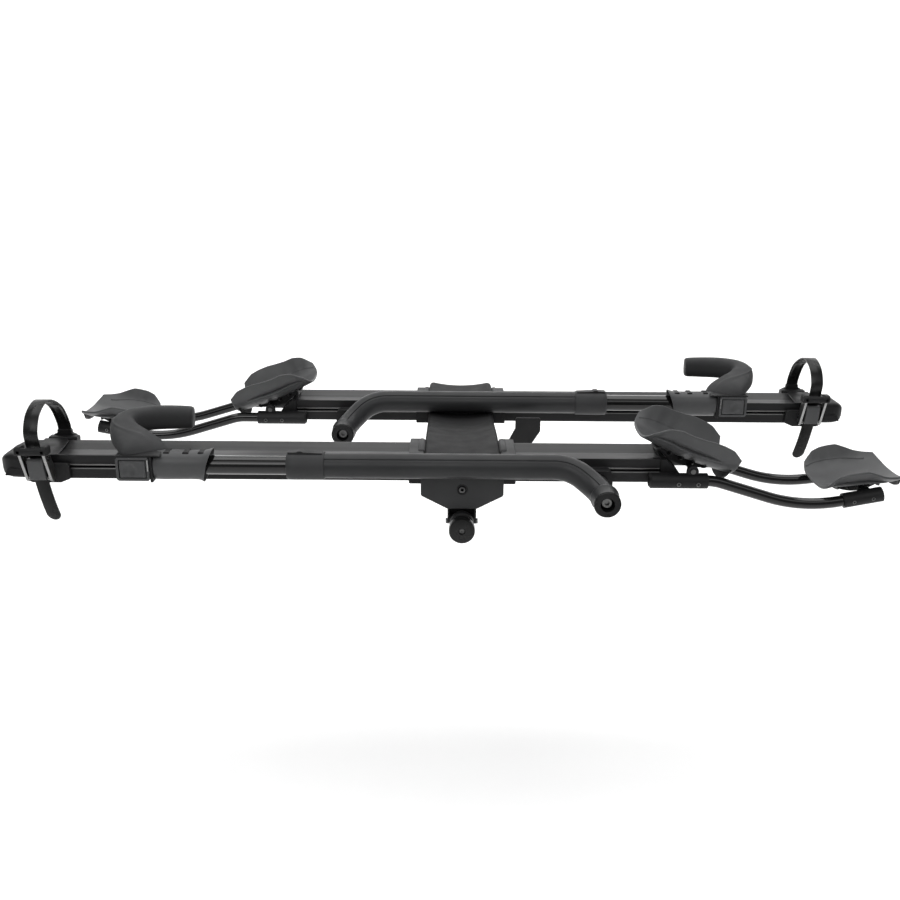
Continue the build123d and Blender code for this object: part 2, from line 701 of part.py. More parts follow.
def main():
    save("hitch_shank", hitch_shank())
    save("pivot_bracket", pivot_bracket())
    save("tilt_bolt", tilt_bolt())
    save("beam", beam())
    rear, hump = shroud_pieces()
    save("beam_shroud", rear)
    save("beam_hump", hump)
    save("end_plate", end_plate())
    save("end_plate_screw", end_plate_screw())
    save("rear_lever", rear_lever())
    save("rear_grip", rear_grip())
    save("rear_grip_screw", rear_grip_screw())
    save("lever_pin", lever_pin())
    save("release_pedal", release_pedal())
    save("lock_rod", lock_rod())
    for side, (y, flipped, rise, shift) in TRAYS.items():
        pieces = {
            "tray_rail": tray_rail(),
            "tray_saddle": tray_saddle(),
            "tray_nose": tray_nose(),
            "cradle_yoke": cradle_yoke(),
            "cradle_rods": cradle_rods(shift),
            "rod_clamps": rod_clamps(shift),
            "chock_axles": chock_axles(shift),
            "inner_chock": inner_chock(),
            "outer_chock": outer_chock(shift),
            "arm_bracket": arm_bracket(),
            "arm_bolt": arm_bolt(),
            "arm_tube": arm_tube(rise),
            "arm_bushes": arm_bushes(),
            "arm_plug": arm_plug(),
            "arm_collar": arm_collar(rise),
            "hook_tube": hook_tube(rise),
            "hook_housing": hook_housing(rise),
            "hook_button": hook_button(rise),
            "hook_pad": hook_pad(rise),
            "strap_carriage": strap_carriage(),
            "strap_buckle": strap_buckle(),
            "buckle_lever": buckle_lever(),
            "wheel_strap": wheel_strap(),
        }
        for name, piece in pieces.items():
            if flipped:
                piece = mirror(piece, about=Plane.YZ)
            save(f"{side}_{name}", Pos(0, y, 0) * piece)


main()
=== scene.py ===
import json
import math

import bmesh
import bpy
from mathutils import Matrix, Vector


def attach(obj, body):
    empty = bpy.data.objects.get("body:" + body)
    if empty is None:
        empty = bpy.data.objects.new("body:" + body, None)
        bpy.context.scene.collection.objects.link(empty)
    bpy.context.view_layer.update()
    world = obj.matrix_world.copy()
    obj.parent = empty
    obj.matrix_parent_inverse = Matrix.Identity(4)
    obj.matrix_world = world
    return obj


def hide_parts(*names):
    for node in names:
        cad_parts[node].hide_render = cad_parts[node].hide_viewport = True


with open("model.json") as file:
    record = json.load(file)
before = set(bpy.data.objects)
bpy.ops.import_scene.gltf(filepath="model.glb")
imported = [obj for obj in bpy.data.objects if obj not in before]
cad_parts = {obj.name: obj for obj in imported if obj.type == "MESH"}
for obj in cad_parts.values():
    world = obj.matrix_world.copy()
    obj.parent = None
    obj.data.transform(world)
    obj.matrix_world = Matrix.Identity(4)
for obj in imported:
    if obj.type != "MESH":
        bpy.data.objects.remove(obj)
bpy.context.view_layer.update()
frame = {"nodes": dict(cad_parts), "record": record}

NODES = frame["nodes"]
TRAYS = ("outer", "inner")
MM = 0.001


# ---------------------------------------------------------------- materials
def new_material(name, base, roughness, metallic=0.0, coat=0.0, specular=0.5):
    """Principled material with its constants on the shader's own sockets."""
    mat = bpy.data.materials.new(name)
    mat.use_nodes = True
    shader = mat.node_tree.nodes["Principled BSDF"]
    shader.inputs["Base Color"].default_value = (*base, 1.0)
    shader.inputs["Roughness"].default_value = roughness
    shader.inputs["Metallic"].default_value = metallic
    shader.inputs["Coat Weight"].default_value = coat
    shader.inputs["Coat Roughness"].default_value = 0.12
    shader.inputs["Specular IOR Level"].default_value = specular
    return mat, shader


def noise(mat, scale, detail=4.0, stretch=(1, 1, 1)):
    """Noise over the object's own coordinates, scale in features per metre."""
    tree = mat.node_tree
    coords = tree.nodes.new("ShaderNodeTexCoord")
    mapping = tree.nodes.new("ShaderNodeMapping")
    mapping.inputs["Scale"].default_value = stretch
    tree.links.new(coords.outputs["Object"], mapping.inputs["Vector"])
    node = tree.nodes.new("ShaderNodeTexNoise")
    node.inputs["Scale"].default_value = scale
    node.inputs["Detail"].default_value = detail
    tree.links.new(mapping.outputs["Vector"], node.inputs["Vector"])
    return node.outputs["Fac"]


def spread(mat, value, low, high, centre=(0.35, 0.65)):
    """Maps a noise value onto the range low..high."""
    node = mat.node_tree.nodes.new("ShaderNodeMapRange")
    node.inputs["From Min"].default_value = centre[0]
    node.inputs["From Max"].default_value = centre[1]
    node.inputs["To Min"].default_value = low
    node.inputs["To Max"].default_value = high
    mat.node_tree.links.new(value, node.inputs["Value"])
    return node.outputs["Result"]


def mottle(mat, shader, base, other, value):
    """Varies the base colour between two close tones."""
    mix = mat.node_tree.nodes.new("ShaderNodeMix")
    mix.data_type = "RGBA"
    mix.inputs["A"].default_value = (*base, 1.0)
    mix.inputs["B"].default_value = (*other, 1.0)
    mat.node_tree.links.new(value, mix.inputs["Factor"])
    mat.node_tree.links.new(mix.outputs["Result"], shader.inputs["Base Color"])


def bump(mat, shader, value, distance, strength=1.0):
    node = mat.node_tree.nodes.new("ShaderNodeBump")
    node.inputs["Distance"].default_value = distance
    node.inputs["Strength"].default_value = strength
    mat.node_tree.links.new(value, node.inputs["Height"])
    mat.node_tree.links.new(node.outputs["Normal"], shader.inputs["Normal"])


def textured(name, base, other, rough, grain, depth, metallic=0.0, coat=0.0, stretch=(1, 1, 1)):
    """Surface with a grain, broad tone changes and uneven gloss."""
    mat, shader = new_material(name, base, sum(rough) / 2, metallic, coat, specular=0.24)
    tree = mat.node_tree
    broad = noise(mat, 9.0, 6.0)
    mottle(mat, shader, base, other, spread(mat, broad, 0.0, 1.0))
    smudge = noise(mat, 38.0, 5.0, stretch)
    tree.links.new(spread(mat, smudge, rough[0], rough[1]), shader.inputs["Roughness"])
    bump(mat, shader, noise(mat, grain, 2.0, stretch), depth)
    return mat


# Base colour, second tone, roughness range, grain per metre, grain depth in metres, then extras.
FINISHES = {
    "black_powder_coat": ((0.010, 0.010, 0.0105), (0.016, 0.016, 0.0165), (0.40, 0.54), 900, 0.00006, {}),
    "grey_powder_coat": ((0.021, 0.0215, 0.0225), (0.026, 0.0265, 0.0275), (0.36, 0.46), 1100, 0.00005, {}),
    "gloss_black_rod": (
        (0.003, 0.003, 0.003), (0.005, 0.005, 0.005), (0.08, 0.16), 300, 0.00001, {"coat": 0.5}),
    "black_anodised": (
        (0.009, 0.009, 0.0095), (0.013, 0.013, 0.0135), (0.38, 0.5), 700, 0.00002, {"stretch": (0.04, 1, 1)}),
    "zinc_steel": ((0.16, 0.16, 0.158), (0.10, 0.10, 0.10), (0.28, 0.44), 500, 0.00002, {"metallic": 1.0}),
    "bright_steel": (
        (0.34, 0.34, 0.335), (0.24, 0.24, 0.24), (0.24, 0.38), 500, 0.00002, {"metallic": 1.0}),
    "grey_moulding": ((0.030, 0.0305, 0.0315), (0.035, 0.0355, 0.0365), (0.5, 0.6), 1500, 0.00003, {}),
    "cover_moulding": ((0.011, 0.011, 0.0115), (0.013, 0.013, 0.0135), (0.66, 0.76), 1500, 0.00002, {}),
    "satin_grey_moulding": (
        (0.060, 0.061, 0.0625), (0.073, 0.074, 0.0755), (0.32, 0.44), 1500, 0.00006, {}),
    "black_moulding": ((0.0065, 0.0065, 0.007), (0.011, 0.011, 0.0115), (0.42, 0.58), 1500, 0.00007, {}),
    "black_rubber": ((0.007, 0.007, 0.007), (0.01, 0.01, 0.01), (0.24, 0.36), 700, 0.00004, {}),
    "grey_rubber": ((0.034, 0.0345, 0.0355), (0.04, 0.0405, 0.0415), (0.56, 0.7), 900, 0.00007, {}),
    "white_acetal": ((0.8, 0.8, 0.78), (0.74, 0.74, 0.72), (0.28, 0.36), 400, 0.00001, {}),
}
MATERIALS = {name: textured(name, *look, **extra) for name, (*look, extra) in FINISHES.items()}


def dress(obj, slot_name):
    obj.data.materials.clear()
    obj.data.materials.append(MATERIALS[slot_name])


for part in frame["record"]["subparts"]:
    dress(NODES[part["node"]], part["material_slot"])


# ---------------------------------------------------------------- mesh tools
TRAY_Y = {"outer": -670.0, "inner": -330.0}      # tray centre lines, as in the CAD
SIDE = {"outer": 1, "inner": -1}                 # the inner tray is the mirror image
RISE = {"outer": 0.0, "inner": 11.0}             # extra height of the inner arm
REACH = {"outer": 0.0, "inner": 27.0}            # extra length of the inner cradle rods
ARM_Y = -70.0                                    # line of the arm and its hook, across the tray
ARM_Z = 126.0                                    # height of the arm's straight run
PIVOT_X, PIVOT_Z = 217, 96                       # the arm's pivot


def to_world(tray, point):
    """Tray coordinates in millimetres to metres in the shared frame; "rack" has none of its own."""
    x, y, z = point
    if tray == "rack":
        return Vector((x, y, z)) * MM
    return Vector((SIDE[tray] * x, y + TRAY_Y[tray], z)) * MM


def smooth_line(points, count):
    """Catmull-Rom line through the points, with evenly spaced parameters."""
    pts = [Vector(p) for p in points]
    pts = [2 * pts[0] - pts[1]] + pts + [2 * pts[-1] - pts[-2]]
    out = []
    for i in range(count):
        t = i / (count - 1) * (len(pts) - 3)
        k = min(int(t), len(pts) - 4)
        u = t - k
        a, b, c, d = pts[k:k + 4]
        out.append(0.5 * (2 * b + (c - a) * u + (2 * a - 5 * b + 4 * c - d) * u * u
                          + (3 * b - a - 3 * c + d) * u ** 3))
    return out


def smooth_values(values, count):
    return [v.x for v in smooth_line([(v, 0, 0) for v in values], count)]


def mesh_object(name, bm, material, smooth=True):
    bmesh.ops.remove_doubles(bm, verts=bm.verts, dist=1e-6)
    bmesh.ops.recalc_face_normals(bm, faces=bm.faces)
    mesh = bpy.data.meshes.new(name)
    bm.to_mesh(mesh)
    bm.free()
    for poly in mesh.polygons:
        poly.use_smooth = smooth
    obj = bpy.data.objects.new(name, mesh)
    bpy.context.collection.objects.link(obj)
    obj.data.materials.append(MATERIALS[material])
    return obj


def finish_piece(obj, slot_name, body, *nodes):
    """Freezes the modifiers, ties the piece to its body and hides the CAD nodes it replaces; the finish
    argument is not used.
    """
    bpy.context.view_layer.update()
    shaped = obj.evaluated_get(bpy.context.evaluated_depsgraph_get())
    mesh = bpy.data.meshes.new_from_object(shaped)
    obj.modifiers.clear()
    obj.data = mesh
    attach(obj, body)
    if nodes:
        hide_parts(*nodes)


def add_bevel(obj, width, segments=3, angle=40):
    mod = obj.modifiers.new("bevel", "BEVEL")
    mod.width = width * MM
    mod.segments = segments
    mod.limit_method = "ANGLE"
    mod.angle_limit = math.radians(angle)
    even = obj.modifiers.new("normals", "WEIGHTED_NORMAL")
    even.keep_sharp = True


def sharp_shade(obj, angle=35):
    """Smooth shading that keeps the creases sharper than the angle."""
    mesh = obj.data
    bm = bmesh.new()
    bm.from_mesh(mesh)
    for edge in bm.edges:
        edge.smooth = edge.calc_face_angle(0.0) < math.radians(angle)
    bm.to_mesh(mesh)
    bm.free()


def loft(name, rings, material, caps=True):
    """Closed tube through rings that all have the same number of points."""
    bm = bmesh.new()
    rows = [[bm.verts.new(p) for p in ring] for ring in rings]
    for a, b in zip(rows, rows[1:]):
        for i in range(len(a)):
            j = (i + 1) % len(a)
            bm.faces.new((a[i], a[j], b[j], b[i]))
    if caps:
        bm.faces.new(rows[0])
        bm.faces.new(rows[-1][::-1])
    return mesh_object(name, bm, material)


def prism(name, tray, outline, axis, start, end, material, bevel=0.0):
    """Extruded outline between two places along an axis, with rounded edges."""
    order = {
        "x": lambda p, t: (t, p[0], p[1]),
        "y": lambda p, t: (p[0], t, p[1]),
        "z": lambda p, t: (p[0], p[1], t),
    }[axis]
    rings = [[to_world(tray, order(p, t)) for p in outline] for t in (start, end)]
    obj = loft(f"{tray}_{name}", rings, material)
    if bevel:
        add_bevel(obj, bevel)
    else:
        sharp_shade(obj)
    return obj


def recess(obj, toward, inset, depth):
    """Sinks the largest face that looks the given way."""
    bm = bmesh.new()
    bm.from_mesh(obj.data)
    face = max((f for f in bm.faces if f.normal.dot(toward) > 0.9), key=lambda f: f.calc_area())
    bmesh.ops.inset_region(bm, faces=[face], thickness=inset * MM)
    moved = bmesh.ops.extrude_face_region(bm, geom=[face])["geom"]
    corners = [v for v in moved if isinstance(v, bmesh.types.BMVert)]
    bmesh.ops.translate(bm, verts=corners, vec=-toward * depth * MM)
    if face.is_valid:
        bmesh.ops.delete(bm, geom=[face], context="FACES_ONLY")
    bmesh.ops.recalc_face_normals(bm, faces=bm.faces)
    bm.to_mesh(obj.data)
    bm.free()


def turned(name, tray, centre, direction, profile, material, sides=56, hex_rings=()):
    """Turned piece from (distance, radius) pairs along an axis; some rings may be hexagons."""
    along = Vector(direction).normalized()
    u = along.orthogonal().normalized()
    v = along.cross(u)
    rings = []
    for n, (t, r) in enumerate(profile):
        ring = []
        for k in range(sides):
            a = 2 * math.pi * k / sides
            reach = r
            if n in hex_rings:
                reach = r * math.cos(math.pi / 6) / math.cos(a % (math.pi / 3) - math.pi / 6)
            way = u * math.cos(a) + v * math.sin(a)
            ring.append(to_world(tray, Vector(centre) + along * t + way * reach))
        rings.append(ring)
    obj = loft(f"{tray}_{name}", rings, material, caps=profile[0] != profile[-1])
    sharp_shade(obj, 40)
    return obj


def screw(name, tray, centre, direction, radius, height, material, body, *nodes):
    """Socket-head screw with a hexagonal recess."""
    profile = [(-1.5, radius), (height - 0.7, radius), (height - 0.2, radius - 0.25), (height, radius - 0.8),
               (height, radius * 0.56), (height - 1.8, radius * 0.52)]
    obj = turned(name, tray, centre, direction, profile, material, hex_rings=(4, 5))
    finish_piece(obj, material, body, *nodes)


def rounded_path(points, radii):
    """Straight runs joined by tangent arcs, in short steps."""
    pts = [Vector(p) for p in points]
    out = [pts[0]]
    for before, corner, after, radius in zip(pts, pts[1:], pts[2:], radii):
        a, b = (before - corner).normalized(), (after - corner).normalized()
        half = a.angle(b) / 2
        centre = corner + (a + b).normalized() * radius / math.sin(half)
        start = corner + a * radius / math.tan(half) - centre
        end = corner + b * radius / math.tan(half) - centre
        turn = math.pi - 2 * half
        steps = max(8, int(radius * turn / 3))
        for k in range(steps + 1):
            t = k / steps
            blend = start * math.sin((1 - t) * turn) + end * math.sin(t * turn)
            out.append(centre + blend / math.sin(turn))
    out.append(pts[-1])
    fine = [out[0]]
    for p, q in zip(out, out[1:]):
        steps = max(1, int((q - p).length / 10))
        fine += [p.lerp(q, k / steps) for k in range(1, steps + 1)]
    return fine


def frames_along(line, up):
    """Point, sideways and upward directions along a line, without twist."""
    out = []
    up = Vector(up)
    for i, p in enumerate(line):
        ahead = (line[min(i + 1, len(line) - 1)] - line[max(i - 1, 0)]).normalized()
        up = (up - ahead * up.dot(ahead)).normalized()
        out.append((p, ahead.cross(up), up))
    return out


# ---------------------------------------------------------------- wheel scoops
# Height of the wings at even steps from the end near the tray.
INNER_WINGS = (18, 38, 46, 47, 49, 51, 50, 46, 34)
OUTER_WINGS = (12, 28, 34, 36, 36, 29, 21, 16, 13)
FLUTES = 3.2             # flutes pressed into each wing


def scoop_surface(length, half_width, wings, bow, count_s=56, count_v=44):
    """Mid-surface of a wheel scoop: rows along it, columns from wing to wing."""
    bent = smooth_values(wings, count_s)
    rows = []
    for i in range(count_s):
        s = i / (count_s - 1)
        k = min(int(s * (len(wings) - 1)), len(wings) - 2)
        straight = wings[k] + (wings[k + 1] - wings[k]) * (s * (len(wings) - 1) - k)
        height = 0.45 * bent[i] + 0.55 * straight
        width = half_width * (0.84 + 0.16 * math.sin(math.pi * s) ** 0.7)
        sag = -bow * math.sin(math.pi * s)
        row = []
        for j in range(count_v):
            v = 2 * j / (count_v - 1) - 1
            lift = height * (0.30 * v * v + 0.70 * v ** 4)
            band = math.exp(-((abs(v) - 0.80) / 0.10) ** 2) * math.sin(math.pi * min(1, s / 0.7)) ** 2
            flute = 1.7 * band * math.cos(2 * math.pi * FLUTES * s)
            corner = 7.0 * max(0.0, abs(v) - 0.55) ** 2 * (2 * s - 1) * 4
            row.append(Vector((s * length - corner, v * width + math.copysign(flute, v), lift + sag)))
        rows.append(row)
    return rows


def scoop(tray, name, node, origin, tilt, length, half_width, wings, bow):
    """Wheel scoop: a thick dished shell with ledges, ribs and a skirt."""
    rows = scoop_surface(length, half_width, wings, bow)
    turn = Matrix.Rotation(math.radians(tilt), 3, "Y")
    place = lambda p: to_world(tray, turn @ p + Vector(origin))
    bm = bmesh.new()
    grid = [[bm.verts.new(place(p)) for p in row] for row in rows]
    for a, b in zip(grid, grid[1:]):
        for j in range(len(a) - 1):
            bm.faces.new((a[j], a[j + 1], b[j + 1], b[j]))
    obj = mesh_object(f"{tray}_{name}", bm, "satin_grey_moulding")
    up = sum((p.normal.z for p in obj.data.polygons)) > 0
    solid = obj.modifiers.new("skin", "SOLIDIFY")
    solid.thickness = 4.0 * MM
    solid.offset = -1.0 if up else 1.0
    add_bevel(obj, 1.5, 3, 50)
    finish_piece(obj, "satin_grey_moulding", f"{tray}_{node}", f"{tray}_{node}")
    scoop_ledges(tray, name, node, place, rows)
    scoop_lugs(tray, name, node, place, rows)
    scoop_skirt(tray, name, node, place, rows)


def scoop_ledges(tray, name, node, place, rows):
    """Raised ledge along the outside of both wings."""
    for side, column in (("front", 5), ("back", len(rows[0]) - 6)):
        rings = []
        span = range(2, len(rows) - 10)
        for k, i in enumerate(span):
            p = rows[i][column]
            out = Vector((0, -1 if side == "front" else 1, -0.1)).normalized()
            along = (rows[i + 1][column] - rows[i - 1][column]).normalized()
            rise = out.cross(along).normalized()
            grow = math.sin(math.pi * min(1, (k + 0.5) / len(span))) ** 0.5
            base = p + out * 3.0
            ring = []
            for c, d in ((-3, -2.2), (8.0 * grow, -1.4), (9.4 * grow, 0), (8.0 * grow, 1.4), (-3, 2.2)):
                ring.append(place(base + out * c + rise * d))
            rings.append(ring)
        ledge = loft(f"{tray}_{name}_ledge_{side}", rings, "satin_grey_moulding")
        finish_piece(ledge, "satin_grey_moulding", f"{tray}_{node}")


def scoop_skirt(tray, name, node, place, rows):
    """Stiff skirt that turns down from the scoop's far edge."""
    edge = rows[-2]
    rings = []
    for j in range(5, len(edge) - 5):
        p = edge[j]
        v = abs(2 * j / (len(edge) - 1) - 1)
        deep = 4 + 11 * math.sqrt(max(0.0, 1 - (v / 0.8) ** 2))
        ring = [(-2.6, -3.4), (0.6, -3.0), (-2.4, -3.0 - deep), (-5.4, -2.6 - deep)]
        rings.append([place(Vector((p.x + a, p.y, p.z + b))) for a, b in ring])
    skirt = loft(f"{tray}_{name}_skirt", rings, "black_moulding")
    sharp_shade(skirt)
    finish_piece(skirt, "black_moulding", f"{tray}_{node}")


def scoop_lugs(tray, name, node, place, rows):
    """Ribs under the floor: two long ones that hold the axle and short cross ribs."""
    mid = len(rows[0]) // 2
    for side in (-22, 22):
        column = min(range(len(rows[0])), key=lambda j: abs(rows[0][j].y - side))
        rings = []
        for i in range(8, len(rows) - 10):
            s = (i - 8) / (len(rows) - 19)
            p = rows[i][column]
            deep = 4 + 12 * math.sin(math.pi * s)
            ring = [(-2, -2.5), (2, -2.5), (2, -deep), (-2, -deep)]
            rings.append([place(Vector((p.x, side + a, p.z + b))) for a, b in ring])
        rib = loft(f"{tray}_{name}_rib_{'a' if side < 0 else 'b'}", rings, "black_moulding")
        sharp_shade(rib)
        finish_piece(rib, "black_moulding", f"{tray}_{node}")
    for n, i in enumerate(range(12, len(rows) - 14, 7)):
        rings = []
        for j in range(mid - 12, mid + 13, 2):
            p = rows[i][j]
            ring = [(-1.2, -2.5), (1.2, -2.5), (1.2, -9), (-1.2, -9)]
            rings.append([place(Vector((p.x + a, p.y, p.z + b))) for a, b in ring])
        rib = loft(f"{tray}_{name}_cross_rib_{n}", rings, "black_moulding")
        sharp_shade(rib)
        finish_piece(rib, "black_moulding", f"{tray}_{node}")


# ---------------------------------------------------------------- rubber hook
HOOK_LINE = (
    (-499, -69, 136), (-506, -60, 150), (-524, -44, 158), (-541, -24, 163), (-549, -2, 167),
    (-541, 20, 170), (-515, 35, 171), (-480, 40, 171), (-448, 41, 170.5),
)
# Half width, half height and the ridge's turn in degrees, at the points of HOOK_LINE.
HOOK_WIDE = (37, 36, 31, 24, 19.5, 17, 15, 14.5, 14)
HOOK_HIGH = (14, 14, 16, 18, 20, 20, 20, 19.5, 18.5)
RIDGE_TURN = (75, 80, 95, 120, 145, 150, 150, 150, 150)


def hook_pad(tray):
    """Rubber hook: a swept superellipse that narrows from its foot to its square tip."""
    count, around = 90, 96
    line = smooth_line(HOOK_LINE, count)
    wide, high = smooth_values(HOOK_WIDE, count), smooth_values(HOOK_HIGH, count)
    ridge = smooth_values(RIDGE_TURN, count)
    rings = []
    for i, centre in enumerate(line):
        ahead = line[min(i + 1, count - 1)] - line[max(i - 1, 0)]
        across = ahead.cross(Vector((0, 0, 1))).normalized()
        above = across.cross(ahead).normalized()
        end = (count - 1 - i) / 3.0
        shrink = 1.0 if end > 1 else 0.9 + 0.1 * math.sqrt(1 - (1 - end) ** 2)
        fade = min(1, max(0, (62 - i) / 14)) * min(1, i / 10)
        ring = []
        for k in range(around):
            a = 2 * math.pi * k / around
            ca, sa = math.cos(a), math.sin(a)
            power = 2 / 2.7
            ex = math.copysign(abs(ca) ** power, ca) * wide[i] * shrink
            ez = math.copysign(abs(sa) ** power, sa) * high[i] * shrink
            off = (math.degrees(a) - ridge[i] + 180) % 360 - 180
            lip = 1.4 * fade * math.exp(-(off / 5.0) ** 2)
            radial = Vector((ex, ez, 0)).normalized()
            p = centre + across * (ex + radial.x * lip) + above * (ez + radial.y * lip)
            ring.append(to_world(tray, p + Vector((0, 0, RISE[tray]))))
        rings.append(ring)
    obj = loft(f"{tray}_hook_rubber", rings, "grey_rubber")
    finish_piece(obj, "grey_rubber", f"{tray}_hook", f"{tray}_hook_pad")


# ---------------------------------------------------------------- ladder strap
STRAP_X = -672.0
STRAP_LINE = (      # sideways lean, y and z
    (0, 58, 136.05), (0, 54, 158), (0, 30, 192), (0, -16, 214), (0, -54, 204), (0, -72, 180), (0, -70, 158),
    (0, -61, 134), (0, -56.5, 112), (1, -56, 92), (5, -57, 70), (10, -57, 47), (15, -55, 25),
)
TOOTH_PITCH = 3.4
STRAP_HALF = 11.0        # half of the band's width


def strap(tray):
    """Band with fine teeth on its outside and a rounded, dimpled end."""
    count = 900
    line = smooth_line([(STRAP_X + lean, y, z) for lean, y, z in STRAP_LINE], count)
    total = sum((b - a).length for a, b in zip(line, line[1:]))
    rings, run = [], 0.0
    for i, centre in enumerate(line):
        if i:
            run += (centre - line[i - 1]).length
        ahead = (line[min(i + 1, count - 1)] - line[max(i - 1, 0)]).normalized()
        out = Vector((1, 0, 0)).cross(ahead).normalized()
        left = total - run
        half = STRAP_HALF
        if left <= STRAP_HALF:
            half *= math.sqrt(max(0.003, 1 - (1 - left / STRAP_HALF) ** 2))
        tooth = 0.0
        if 70 < run < total - 46:
            tooth = 1.3 if (run / TOOTH_PITCH) % 1.0 < 0.5 else 0.0
        dimple = -0.7 * math.exp(-((left - 16) / 5.0) ** 4)
        inner = min(half - 1.0, 8.6) if half > 2 else half * 0.8
        section = [
            (-half, -1.0), (-half + 0.4, -1.3), (half - 0.4, -1.3), (half, -1.0),
            (half, 1.0), (half - 0.5, 1.4),
            (inner, 1.3), (inner - 0.3, 1.0 + tooth), (inner * 0.45, 1.0 + tooth + dimple),
            (-inner * 0.45, 1.0 + tooth + dimple), (-inner + 0.3, 1.0 + tooth), (-inner, 1.3),
            (-half + 0.5, 1.4), (-half, 1.0),
        ]
        rings.append([to_world(tray, centre + Vector((a, 0, 0)) + out * b) for a, b in section])
    obj = loft(f"{tray}_strap_band", rings, "black_rubber")
    sharp_shade(obj, 50)
    finish_piece(obj, "black_rubber", f"{tray}_strap", f"{tray}_wheel_strap")


# ---------------------------------------------------------------- buckle and its carriage
def buckle(tray):
    """Two steel side plates with their screws, the top bar and the base plate."""
    body = f"{tray}_strap"
    plate = [(-50.3, 96), (-57, 91.5), (-62, 94), (-64, 98),
             (-81.5, 143), (-81.5, 152), (-70, 153), (-50.3, 119)]
    for n, side in enumerate((-1, 1)):
        x0, x1 = sorted((STRAP_X + side * 16.6, STRAP_X + side * 21.0))
        cheek = prism(f"buckle_plate_{n}", tray, plate, "x", x0, x1, "bright_steel", 0.6)
        if n:
            finish_piece(cheek, "bright_steel", body)
        else:
            finish_piece(cheek, "bright_steel", body, f"{tray}_strap_buckle")
        seat = (STRAP_X + side * 15.8, -62.6, 99)
        screw(f"buckle_screw_{n}", tray, seat, (0, -1, 0), 3.0, 1.6, "bright_steel", body)
    bar = [(-85, 146), (-83, 142.5), (-66, 142.5), (-64, 146),
           (-64, 153), (-67, 156.5), (-81, 156.5), (-85, 153)]
    for n, (x0, x1) in enumerate(((-25, -15.2), (15.2, 25))):
        end = prism(f"buckle_bar_end_{n}", tray, bar, "x", STRAP_X + x0, STRAP_X + x1, "black_moulding", 1.4)
        finish_piece(end, "black_moulding", body)
    front = [(-85, 146), (-83, 143), (-78, 143), (-77, 147), (-77, 152), (-79, 155), (-82, 155), (-85, 152)]
    rail = prism("buckle_bar_front", tray, front, "x", STRAP_X - 22, STRAP_X + 22, "black_moulding", 1.2)
    finish_piece(rail, "black_moulding", body)
    base = [(-54, 95), (-50.2, 95), (-50.2, 122), (-52, 122)]
    back = prism("buckle_base", tray, base, "x", STRAP_X - 16, STRAP_X + 16, "black_moulding", 0.5)
    finish_piece(back, "black_moulding", body)


def buckle_lever(tray):
    """Flap and barrel of the lever that frees the strap."""
    outline = [(-72, 130), (-69, 133), (-63, 133), (-60.8, 129),
               (-61, 101), (-64.5, 96), (-67.5, 97), (-71.5, 117)]
    flap = prism("lever_flap", tray, outline, "x", STRAP_X - 12.8, STRAP_X + 12.8,
                 "satin_grey_moulding", 1.0)
    finish_piece(flap, "satin_grey_moulding", f"{tray}_buckle_lever", f"{tray}_buckle_lever")
    barrel = turned("lever_barrel", tray, (STRAP_X - 15.4, -66, 128), (1, 0, 0),
                    [(0, 3.6), (0.6, 4.4), (30.2, 4.4), (30.8, 3.6)], "black_moulding")
    finish_piece(barrel, "black_moulding", f"{tray}_buckle_lever")


def carriage(tray):
    """Moulded shoe round the tray: front jaw, sole and rear anchor post."""
    body = f"{tray}_strap"
    x0, x1 = STRAP_X - 27, STRAP_X + 44
    jaw = [(x0, 119), (x0, 93), (x0 + 9, 86.4), (x1 - 16, 86.4), (x1, 93), (x1, 116), (x1 - 3, 119)]
    front = prism("carriage_jaw", tray, jaw, "y", -50.2, -42.6, "black_moulding", 2.2)
    finish_piece(front, "black_moulding", body, f"{tray}_strap_carriage")
    sole = [(-49, 90.3), (-46, 86.4), (46, 86.4), (58, 112), (62, 130),
            (58, 134), (45, 134), (42.6, 130), (42.6, 90.3)]
    under = prism("carriage_sole", tray, sole, "x", x0 + 3, STRAP_X + 24, "black_moulding", 1.8)
    finish_piece(under, "black_moulding", body)
    foot = [(STRAP_X - 20, 131), (STRAP_X + 20, 131), (STRAP_X + 19, 134.5), (STRAP_X + 12.5, 137),
            (STRAP_X + 11.6, 144), (STRAP_X - 11.6, 144), (STRAP_X - 12.5, 137), (STRAP_X - 19, 134.5)]
    anchor = prism("carriage_anchor", tray, foot, "y", 53.5, 62, "black_moulding", 1.6)
    finish_piece(anchor, "black_moulding", body)


